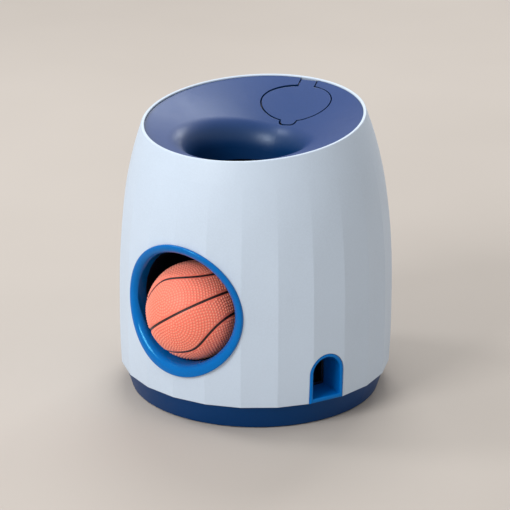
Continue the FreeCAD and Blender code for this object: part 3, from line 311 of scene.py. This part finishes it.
# The navy and inner plastics are darkened with painted shade in their hollows
navy_plastic = moulded_plastic(
    "navy_satin",
    NAVY,
    (0.36, 0.44),
    specular=0.62,
    painted_shade=THROAT_PAINTED_SHADE,
    tint_of_gloss=(0.72, 0.84, 1.0, 1.0),
)
base_plastic = moulded_plastic(
    "navy_base", BASE_NAVY, (0.38, 0.48), specular=0.3, tint_of_gloss=(0.4, 0.8, 1.0, 1.0)
)
inner_plastic = moulded_plastic("navy_inner", INNER_NAVY, (0.38, 0.48), painted_shade=INNER_PAINTED_SHADE)
blue_plastic = moulded_plastic(
    "outlet_gloss",
    OUTLET_BLUE,
    (0.13, 0.19),
    grain_height=0.01 * MM,
    specular=0.55,
    tint_of_gloss=(0.2, 0.82, 1.0, 1.0),
)
grey_plastic = moulded_plastic("inner_grey", GREY, (0.42, 0.52))
bearing_plastic = moulded_plastic("bearing_natural", NATURAL, (0.3, 0.4), edge=0.1 * MM)
steel = brushed_metal("plated_steel", STEEL)
black_rubber = rubber("foot_rubber", BLACK, (0.65, 0.8), 700.0, 0.03 * MM, 0.15)

MATERIALS = {
    "outer_shell": shell_plastic,
    "base_tray": base_plastic,
    "anti_slip_ring": black_rubber,
    "funnel": navy_plastic,
    "treat_lid": navy_plastic,
    "lid_hinge_pin": steel,
    "treat_hopper": inner_plastic,
    "ball_duct": inner_plastic,
    "ball_outlet_ring": blue_plastic,
    "treat_outlet_frame": blue_plastic,
    "treat_chute": inner_plastic,
    "dosing_drum": grey_plastic,
    "trigger_paddle": blue_plastic,
    "trigger_axle": steel,
    "left_bush": bearing_plastic,
    "right_bush": bearing_plastic,
    "axle_clips": steel,
    "return_spring": steel,
    "mechanism_frame": grey_plastic,
    "base_screws": steel,
    "frame_screws": steel,
    "hopper_screws": steel,
}
for node_name, material in MATERIALS.items():
    paint(node_name, material)


# The ball: a skin with grooves, rings of pebbles and dark seam lines, all inside the CAD ball
BALL_LOW, BALL_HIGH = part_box("ball")
BALL_CENTRE = (BALL_LOW + BALL_HIGH) / 2
BALL_RADIUS = (BALL_HIGH.x - BALL_LOW.x) / 2
PEBBLE_HEIGHT = 0.36 * MM
SKIN_RADIUS = BALL_RADIUS - PEBBLE_HEIGHT
SKIN_QUADS = 118

# Three directions at right angles that the seams run by, as the ball lies in the photograph:
# one seam circle is square to SIDE and one to FRONT, and a curved seam runs round each end of SIDE
SIDE = Vector((-0.5763, 0.1072, 0.8102)).normalized()
FRONT = Vector((0.0346, -0.9873, 0.1552))
FRONT = (FRONT - SIDE * FRONT.dot(SIDE)).normalized()
ACROSS = SIDE.cross(FRONT)

# The curved seam's angle from SIDE, in degrees: its mean and how far it swings, twice and
# four times in a turn
LOOP_MEAN = 53.4
LOOP_SWING = 11.6
LOOP_RIPPLE = 1.1

GROOVE_DEPTH = 0.32 * MM
GROOVE_HALF = 1.25 * MM
SEAM_HALF = 1.0 * MM
SEAM_POINTS = 720
SEAM_COLUMNS = (-1.0, -0.6, 0.0, 0.6, 1.0)
SEAM_LIFT = 0.03 * MM
SEAM_LIFT_STEP = 0.006 * MM
SEAM_EDGE_DROP = 0.08 * MM

PEBBLE_PITCH = 1.78 * MM
PEBBLE_RADIUS = 0.74 * MM
PEBBLE_SIDES = 8

# How much of its radius a pebble keeps clear of a groove's edge
PEBBLE_CLEARANCE = 0.45

# Each ring of a pebble: its share of the radius and its height over the skin
PEBBLE_RINGS = ((1.0, -0.12 * MM), (0.86, 0.5 * PEBBLE_HEIGHT), (0.45, 0.9 * PEBBLE_HEIGHT))

# How far the middles of the pebble rings lean from FRONT to SIDE, in degrees
LEAN_ABOVE = 22.0
LEAN_BELOW = -8.0


def on_seam_plane(turn):
    """Direction square to SIDE, for a turn about it from FRONT."""
    return FRONT * math.cos(turn) + ACROSS * math.sin(turn)


def loop_angle(turn):
    """Angle from SIDE at which the curved seam lies, for a turn about SIDE."""
    swing = LOOP_SWING * math.cos(2 * turn)
    ripple = LOOP_RIPPLE * math.cos(4 * turn)
    return math.radians(LOOP_MEAN - swing - ripple)


def loop_slope(turn):
    """How fast loop_angle changes with the turn."""
    swing = 2 * LOOP_SWING * math.sin(2 * turn)
    ripple = 4 * LOOP_RIPPLE * math.sin(4 * turn)
    return math.radians(swing + ripple)


def seam_distance(direction):
    """Distance along the skin to the nearest seam, in metres."""
    side = direction.dot(SIDE)
    front = direction.dot(FRONT)
    turn = math.atan2(direction.dot(ACROSS), front)
    from_pole = math.acos(min(1.0, abs(side)))
    slope = loop_slope(turn) / max(0.2, math.sin(from_pole))
    to_loop = abs(from_pole - loop_angle(turn)) / math.sqrt(1 + slope * slope)
    to_side_circle = math.asin(min(1.0, abs(side)))
    to_front_circle = math.asin(min(1.0, abs(front)))
    return SKIN_RADIUS * min(to_side_circle, to_front_circle, to_loop)


def groove(distance):
    """Depth of the groove at a distance from the middle of a seam."""
    if distance >= GROOVE_HALF:
        return 0.0
    return GROOVE_DEPTH * (0.5 + 0.5 * math.cos(math.pi * distance / GROOVE_HALF))


def new_piece(name, vertices, faces, material, smooth=True):
    mesh = bpy.data.meshes.new(name)
    mesh.from_pydata(vertices, [], faces)
    mesh.validate()
    mesh.materials.append(material)
    if smooth:
        mesh.shade_smooth()
    piece = bpy.data.objects.new(name, mesh)
    bpy.context.scene.collection.objects.link(piece)
    return piece


def cube_sphere(count):
    """Unit directions and quads of a cube blown up to a sphere, count quads along each edge."""
    index = {}
    directions = []
    faces = []

    def corner(point):
        key = tuple(round(value * count) for value in point)
        if key not in index:
            index[key] = len(directions)
            warped = [math.tan(value * math.pi / 4) for value in point]
            directions.append(Vector(warped).normalized())
        return index[key]

    for axis in range(3):
        for sign in (-1, 1):
            for i in range(count):
                for j in range(count):
                    quad = []
                    for di, dj in ((0, 0), (1, 0), (1, 1), (0, 1)):
                        point = [0.0, 0.0, 0.0]
                        point[axis] = float(sign)
                        point[(axis + 1) % 3] = -1 + 2 * (i + di) / count
                        point[(axis + 2) % 3] = -1 + 2 * (j + dj) / count
                        quad.append(corner(point))
                    faces.append(quad if sign > 0 else quad[::-1])
    return directions, faces


def make_ball_skin(material):
    directions, faces = cube_sphere(SKIN_QUADS)
    vertices = [
        BALL_CENTRE + direction * (SKIN_RADIUS - groove(seam_distance(direction)))
        for direction in directions
    ]
    return new_piece("ball_skin", vertices, faces, material)


def panel_of(direction):
    """Which panel a direction lies in: the sign of its side, and of its front or 0 in a loop."""
    side = direction.dot(SIDE)
    front = direction.dot(FRONT)
    turn = math.atan2(direction.dot(ACROSS), front)
    in_loop = math.acos(min(1.0, abs(side))) < loop_angle(turn)
    return math.copysign(1, side), 0 if in_loop else math.copysign(1, front)


def panel_middle(side, forward):
    """The point that a panel's rings of pebbles run round."""
    if forward == 0:
        return SIDE * side
    lean = math.radians(LEAN_ABOVE if side > 0 else LEAN_BELOW)
    return FRONT * forward * math.cos(lean) + SIDE * math.sin(lean)


def ring_directions(middle):
    """Directions spaced evenly on rings round a middle, out to the far side of the ball."""
    step = PEBBLE_PITCH / SKIN_RADIUS
    first = middle.cross(ACROSS).normalized()
    second = middle.cross(first)
    for ring in range(int(math.pi / step)):
        polar = ring * step
        count = max(1, round(2 * math.pi * math.sin(polar) / step)) if ring else 1
        for spot in range(count):
            around = 2 * math.pi * (spot + 0.5 * (ring % 2)) / count
            outward = first * math.cos(around) + second * math.sin(around)
            yield middle * math.cos(polar) + math.sin(polar) * outward


def add_pebble(vertices, faces, direction):
    one = direction.orthogonal().normalized()
    two = direction.cross(one)
    start = len(vertices)
    for share, rise in PEBBLE_RINGS:
        for k in range(PEBBLE_SIDES):
            turn = 2 * math.pi * k / PEBBLE_SIDES
            outward = (one * math.cos(turn) + two * math.sin(turn)) * (PEBBLE_RADIUS * share)
            point = direction * SKIN_RADIUS + outward
            vertices.append(BALL_CENTRE + point.normalized() * (SKIN_RADIUS + rise))
    top = len(vertices)
    vertices.append(BALL_CENTRE + direction * (SKIN_RADIUS + PEBBLE_HEIGHT))
    for ring in range(len(PEBBLE_RINGS)):
        base = start + ring * PEBBLE_SIDES
        last_ring = ring == len(PEBBLE_RINGS) - 1
        for k in range(PEBBLE_SIDES):
            a = base + k
            b = base + (k + 1) % PEBBLE_SIDES
            faces.append([a, b, top] if last_ring else [a, b, b + PEBBLE_SIDES, a + PEBBLE_SIDES])


def make_pebbles(material):
    vertices = []
    faces = []
    clearance = GROOVE_HALF + PEBBLE_CLEARANCE * PEBBLE_RADIUS
    for panel in ((1, 0), (1, 1), (1, -1), (-1, 0), (-1, 1), (-1, -1)):
        for direction in ring_directions(panel_middle(*panel)):
            if panel_of(direction) == panel and seam_distance(direction) >= clearance:
                add_pebble(vertices, faces, direction)
    return new_piece("ball_pebbles", vertices, faces, material)


def seam_curves():
    """The four seams, each a closed row of directions."""
    turns = [2 * math.pi * k / SEAM_POINTS for k in range(SEAM_POINTS)]
    yield [on_seam_plane(turn) for turn in turns]
    yield [SIDE * math.cos(turn) + ACROSS * math.sin(turn) for turn in turns]
    for pole in (SIDE, -SIDE):
        yield [
            pole * math.cos(loop_angle(turn)) + math.sin(loop_angle(turn)) * on_seam_plane(turn)
            for turn in turns
        ]


def make_seams(material):
    """Dark strips that lie in the grooves, each a little higher than the last where they cross."""
    vertices = []
    faces = []
    columns = len(SEAM_COLUMNS)
    for number, points in enumerate(seam_curves()):
        start = len(vertices)
        lift = SEAM_LIFT + SEAM_LIFT_STEP * number
        for k, direction in enumerate(points):
            along = (points[(k + 1) % SEAM_POINTS] - points[k - 1]).normalized()
            sideways = direction.cross(along).normalized()
            for share in SEAM_COLUMNS:
                offset = share * SEAM_HALF
                turned = (direction * SKIN_RADIUS + sideways * offset).normalized()
                edge_drop = SEAM_EDGE_DROP if abs(share) == 1.0 else 0.0
                height = SKIN_RADIUS - groove(abs(offset)) + lift - edge_drop
                vertices.append(BALL_CENTRE + turned * height)
        for k in range(SEAM_POINTS):
            for column in range(columns - 1):
                a = start + k * columns + column
                b = start + ((k + 1) % SEAM_POINTS) * columns + column
                faces.append([a, b, b + 1, a + 1])
    return new_piece("ball_seams", vertices, faces, material)


# The skin between pebbles is painted darker as shade in the hollows
skin_rubber = rubber("ball_skin_rubber", CORAL_PAINTED_SHADE, (0.5, 0.62))
pebble_rubber = rubber("ball_pebble_rubber", CORAL, (0.42, 0.52))
seam_rubber = rubber("ball_seam_rubber", SEAM, (0.5, 0.6), sheen=0.1)

skin = make_ball_skin(skin_rubber)
pebbles = make_pebbles(pebble_rubber)
seams = make_seams(seam_rubber)
for piece in (skin, pebbles, seams):
    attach(piece, "ball")
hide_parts("ball")


# Floor, lamps and world
FLOOR_HALF = 6.0
WORLD_STRENGTH = 0.6


def add_floor():
    material, tree, shader = new_material("pale_floor")
    cloud = spread(tree, noise(tree, object_place(tree), 2.0), 0.0, 1.0)
    tint = blend_colours(tree, cloud, FLOOR_DARK, FLOOR_LIGHT)
    tree.links.new(tint, shader.inputs["Base Color"])
    shader.inputs["Roughness"].default_value = 0.85
    shader.inputs["Specular IOR Level"].default_value = 0.2
    corners = [(x * FLOOR_HALF, y * FLOOR_HALF, 0) for x, y in ((-1, -1), (1, -1), (1, 1), (-1, 1))]
    new_piece("floor", corners, [(0, 1, 2, 3)], material, smooth=False)


def add_softbox(name, place, aim_height, size, power):
    """A round lamp that looks at the toy's middle line at aim_height, in metres and watts."""
    data = bpy.data.lights.new(name, "AREA")
    data.shape = "DISK"
    data.size = size
    data.energy = power
    lamp = bpy.data.objects.new(name, data)
    lamp.matrix_world = look_matrix(Vector(place), Vector((0, 0, aim_height)))
    bpy.context.scene.collection.objects.link(lamp)


def add_world():
    world = bpy.data.worlds.new("studio")
    world.use_nodes = True
    background = world.node_tree.nodes["Background"]
    background.inputs["Color"].default_value = WORLD_WHITE
    background.inputs["Strength"].default_value = WORLD_STRENGTH
    bpy.context.scene.world = world


add_camera()
add_floor()
add_world()
add_softbox("key", (-0.3, -1.5, 1.05), 0.09, 0.8, 16.8)
add_softbox("top_back", (-0.55, 0.9, 1.45), 0.16, 0.8, 10.0)
add_softbox("overhead", (-0.8, -0.3, 1.12), 0.16, 0.3, 3.5)
add_softbox("rear", (-0.15, 1.3, 0.85), 0.16, 0.25, 2.5)

bpy.context.scene.view_settings.view_transform = "Standard"
